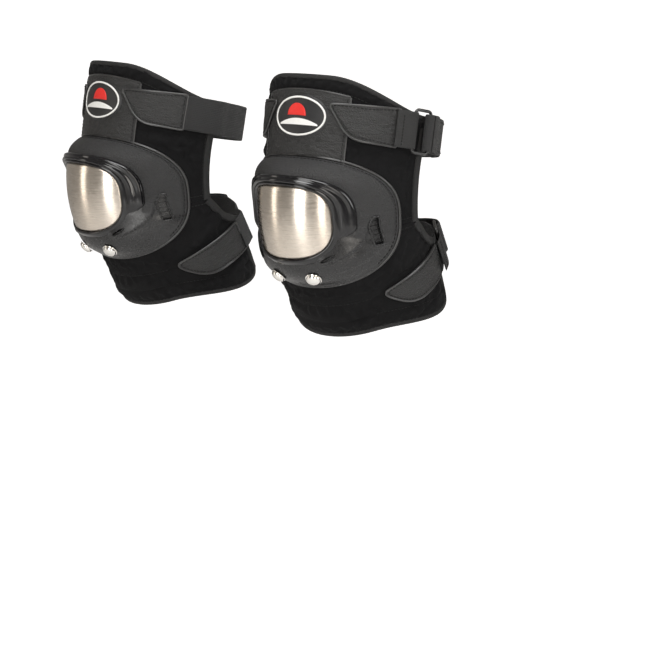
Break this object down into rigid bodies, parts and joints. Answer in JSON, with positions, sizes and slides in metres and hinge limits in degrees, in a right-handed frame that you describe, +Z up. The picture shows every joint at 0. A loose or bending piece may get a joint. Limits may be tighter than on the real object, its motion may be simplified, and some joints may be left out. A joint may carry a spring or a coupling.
{
  "type": "motorcycle knee guards",
  "caption": "Pair of strap-on knee guards: black moulded cup with a brushed steel cap, soft thigh and shin wings, elastic straps and wire buckles.",
  "frame": {"origin": "midway between the centres of the two knees that the guards are worn on", "axes": "+Z up, -Y towards the front of the cups, +X towards the wearer's left guard"},
  "size_m": [0.4806, 0.2132, 0.2658],
  "materials": {
    "cup_plastic": "black moulded plastic, fine stipple above and at the sides, satin below",
    "gloss_plastic": "black high-gloss moulded plastic",
    "brushed_steel": "horizontally brushed stainless steel",
    "chrome": "polished nickel-plated dome rivets",
    "foam": "closed-cell foam pad, charcoal",
    "stretch_fabric": "black stretch fabric over thin foam, matt",
    "lining_mesh": "charcoal mesh lining",
    "grained_leather": "black synthetic leather with a fine grain and black stitching",
    "edge_binding": "black edge tape and piping",
    "emblem": "oval moulded patch, dark field, white ring, plain red and white blades",
    "webbing": "black ribbed webbing",
    "elastic": "black cross-ribbed elastic strap",
    "hook_tape": "black hook tape",
    "buckle_metal": "black coated steel wire, slightly glossy"
  },
  "bodies": {
    "knee_left": {"knee_shell_left": "cup_plastic", "shell_piping_left": "edge_binding", "cap_bezel_left": "gloss_plastic", "steel_cap_left": "brushed_steel", "cap_rivet_inner_left": "chrome", "cap_rivet_outer_left": "chrome", "knee_pad_left": "foam"},
    "thigh_left": {"thigh_wrap_left": "stretch_fabric", "thigh_lining_left": "lining_mesh", "thigh_panel_left": "grained_leather", "emblem_patch_left": "emblem", "thigh_binding_left": "edge_binding", "upper_tab_outer_left": "grained_leather", "upper_tab_inner_left": "grained_leather", "upper_webbing_loop_left": "webbing", "upper_strap_left": "elastic"},
    "shin_left": {"shin_wrap_left": "stretch_fabric", "shin_lining_left": "lining_mesh", "shin_binding_left": "edge_binding", "lower_tab_outer_left": "grained_leather", "lower_tab_inner_left": "grained_leather", "lower_webbing_loop_left": "webbing", "lower_strap_left": "elastic"},
    "upper_tail_left": {"upper_strap_tail_left": "elastic", "upper_hook_patch_left": "hook_tape"},
    "lower_tail_left": {"lower_strap_tail_left": "elastic", "lower_hook_patch_left": "hook_tape"},
    "upper_buckle_left": {"upper_buckle_left": "buckle_metal"},
    "lower_buckle_left": {"lower_buckle_left": "buckle_metal"},
    "knee_right": {"knee_shell_right": "cup_plastic", "shell_piping_right": "edge_binding", "cap_bezel_right": "gloss_plastic", "steel_cap_right": "brushed_steel", "cap_rivet_inner_right": "chrome", "cap_rivet_outer_right": "chrome", "knee_pad_right": "foam"},
    "thigh_right": {"thigh_wrap_right": "stretch_fabric", "thigh_lining_right": "lining_mesh", "thigh_panel_right": "grained_leather", "emblem_patch_right": "emblem", "thigh_binding_right": "edge_binding", "upper_tab_outer_right": "grained_leather", "upper_tab_inner_right": "grained_leather", "upper_webbing_loop_right": "webbing", "upper_strap_right": "elastic"},
    "shin_right": {"shin_wrap_right": "stretch_fabric", "shin_lining_right": "lining_mesh", "shin_binding_right": "edge_binding", "lower_tab_outer_right": "grained_leather", "lower_tab_inner_right": "grained_leather", "lower_webbing_loop_right": "webbing", "lower_strap_right": "elastic"},
    "upper_tail_right": {"upper_strap_tail_right": "elastic", "upper_hook_patch_right": "hook_tape"},
    "lower_tail_right": {"lower_strap_tail_right": "elastic", "lower_hook_patch_right": "hook_tape"},
    "upper_buckle_right": {"upper_buckle_right": "buckle_metal"},
    "lower_buckle_right": {"lower_buckle_right": "buckle_metal"}
  },
  "joints": [
    {"name": "stance_slide", "type": "slide", "parent": "knee_left", "child": "knee_right", "axis": [-1, 0, 0], "range_m": [-0.08, 0.2]},
    {"name": "thigh_flex_left", "type": "hinge", "parent": "knee_left", "child": "thigh_left", "pos_m": [0.1425, 0, 0], "axis": [-0.9945, -0.1045, 0], "range_deg": [-8, 20]},
    {"name": "shin_flex_left", "type": "hinge", "parent": "knee_left", "child": "shin_left", "pos_m": [0.1425, 0, 0], "axis": [0.9945, 0.1045, 0], "range_deg": [-8, 20]},
    {"name": "upper_buckle_tilt_left", "type": "hinge", "parent": "thigh_left", "child": "upper_buckle_left", "pos_m": [0.23212, -0.00266, 0.08883], "axis": [-0.0199, 0.1898, 0.9816], "range_deg": [-5, 5]},
    {"name": "upper_strap_peel_left", "type": "hinge", "parent": "thigh_left", "child": "upper_tail_left", "pos_m": [0.23988, 0.01714, 0.08516], "axis": [0.0199, -0.1898, -0.9816], "range_deg": [0, 120]},
    {"name": "lower_buckle_tilt_left", "type": "hinge", "parent": "shin_left", "child": "lower_buckle_left", "pos_m": [0.19938, 0.07323, -0.03428], "axis": [0.0475, -0.4515, 0.891], "range_deg": [-5, 5]},
    {"name": "lower_strap_peel_left", "type": "hinge", "parent": "shin_left", "child": "lower_tail_left", "pos_m": [0.18692, 0.09023, -0.025], "axis": [-0.0475, 0.4515, -0.891], "range_deg": [0, 120]},
    {"name": "thigh_flex_right", "type": "hinge", "parent": "knee_right", "child": "thigh_right", "pos_m": [-0.1425, 0, 0], "axis": [-0.9945, 0.1045, 0], "range_deg": [-8, 20]},
    {"name": "shin_flex_right", "type": "hinge", "parent": "knee_right", "child": "shin_right", "pos_m": [-0.1425, 0, 0], "axis": [0.9945, -0.1045, 0], "range_deg": [-8, 20]},
    {"name": "upper_buckle_tilt_right", "type": "hinge", "parent": "thigh_right", "child": "upper_buckle_right", "pos_m": [-0.23212, -0.00266, 0.08883], "axis": [0.0199, 0.1898, 0.9816], "range_deg": [-5, 5]},
    {"name": "upper_strap_peel_right", "type": "hinge", "parent": "thigh_right", "child": "upper_tail_right", "pos_m": [-0.23988, 0.01714, 0.08516], "axis": [0.0199, 0.1898, 0.9816], "range_deg": [0, 120]},
    {"name": "lower_buckle_tilt_right", "type": "hinge", "parent": "shin_right", "child": "lower_buckle_right", "pos_m": [-0.19938, 0.07323, -0.03428], "axis": [-0.0475, -0.4515, 0.891], "range_deg": [-5, 5]},
    {"name": "lower_strap_peel_right", "type": "hinge", "parent": "shin_right", "child": "lower_tail_right", "pos_m": [-0.18692, 0.09023, -0.025], "axis": [-0.0475, -0.4515, 0.891], "range_deg": [0, 120]}
  ],
  "couplings": [
    {"joint": "shin_flex_left", "follows": "thigh_flex_left", "ratio": 1},
    {"joint": "shin_flex_right", "follows": "thigh_flex_right", "ratio": 1}
  ]
}
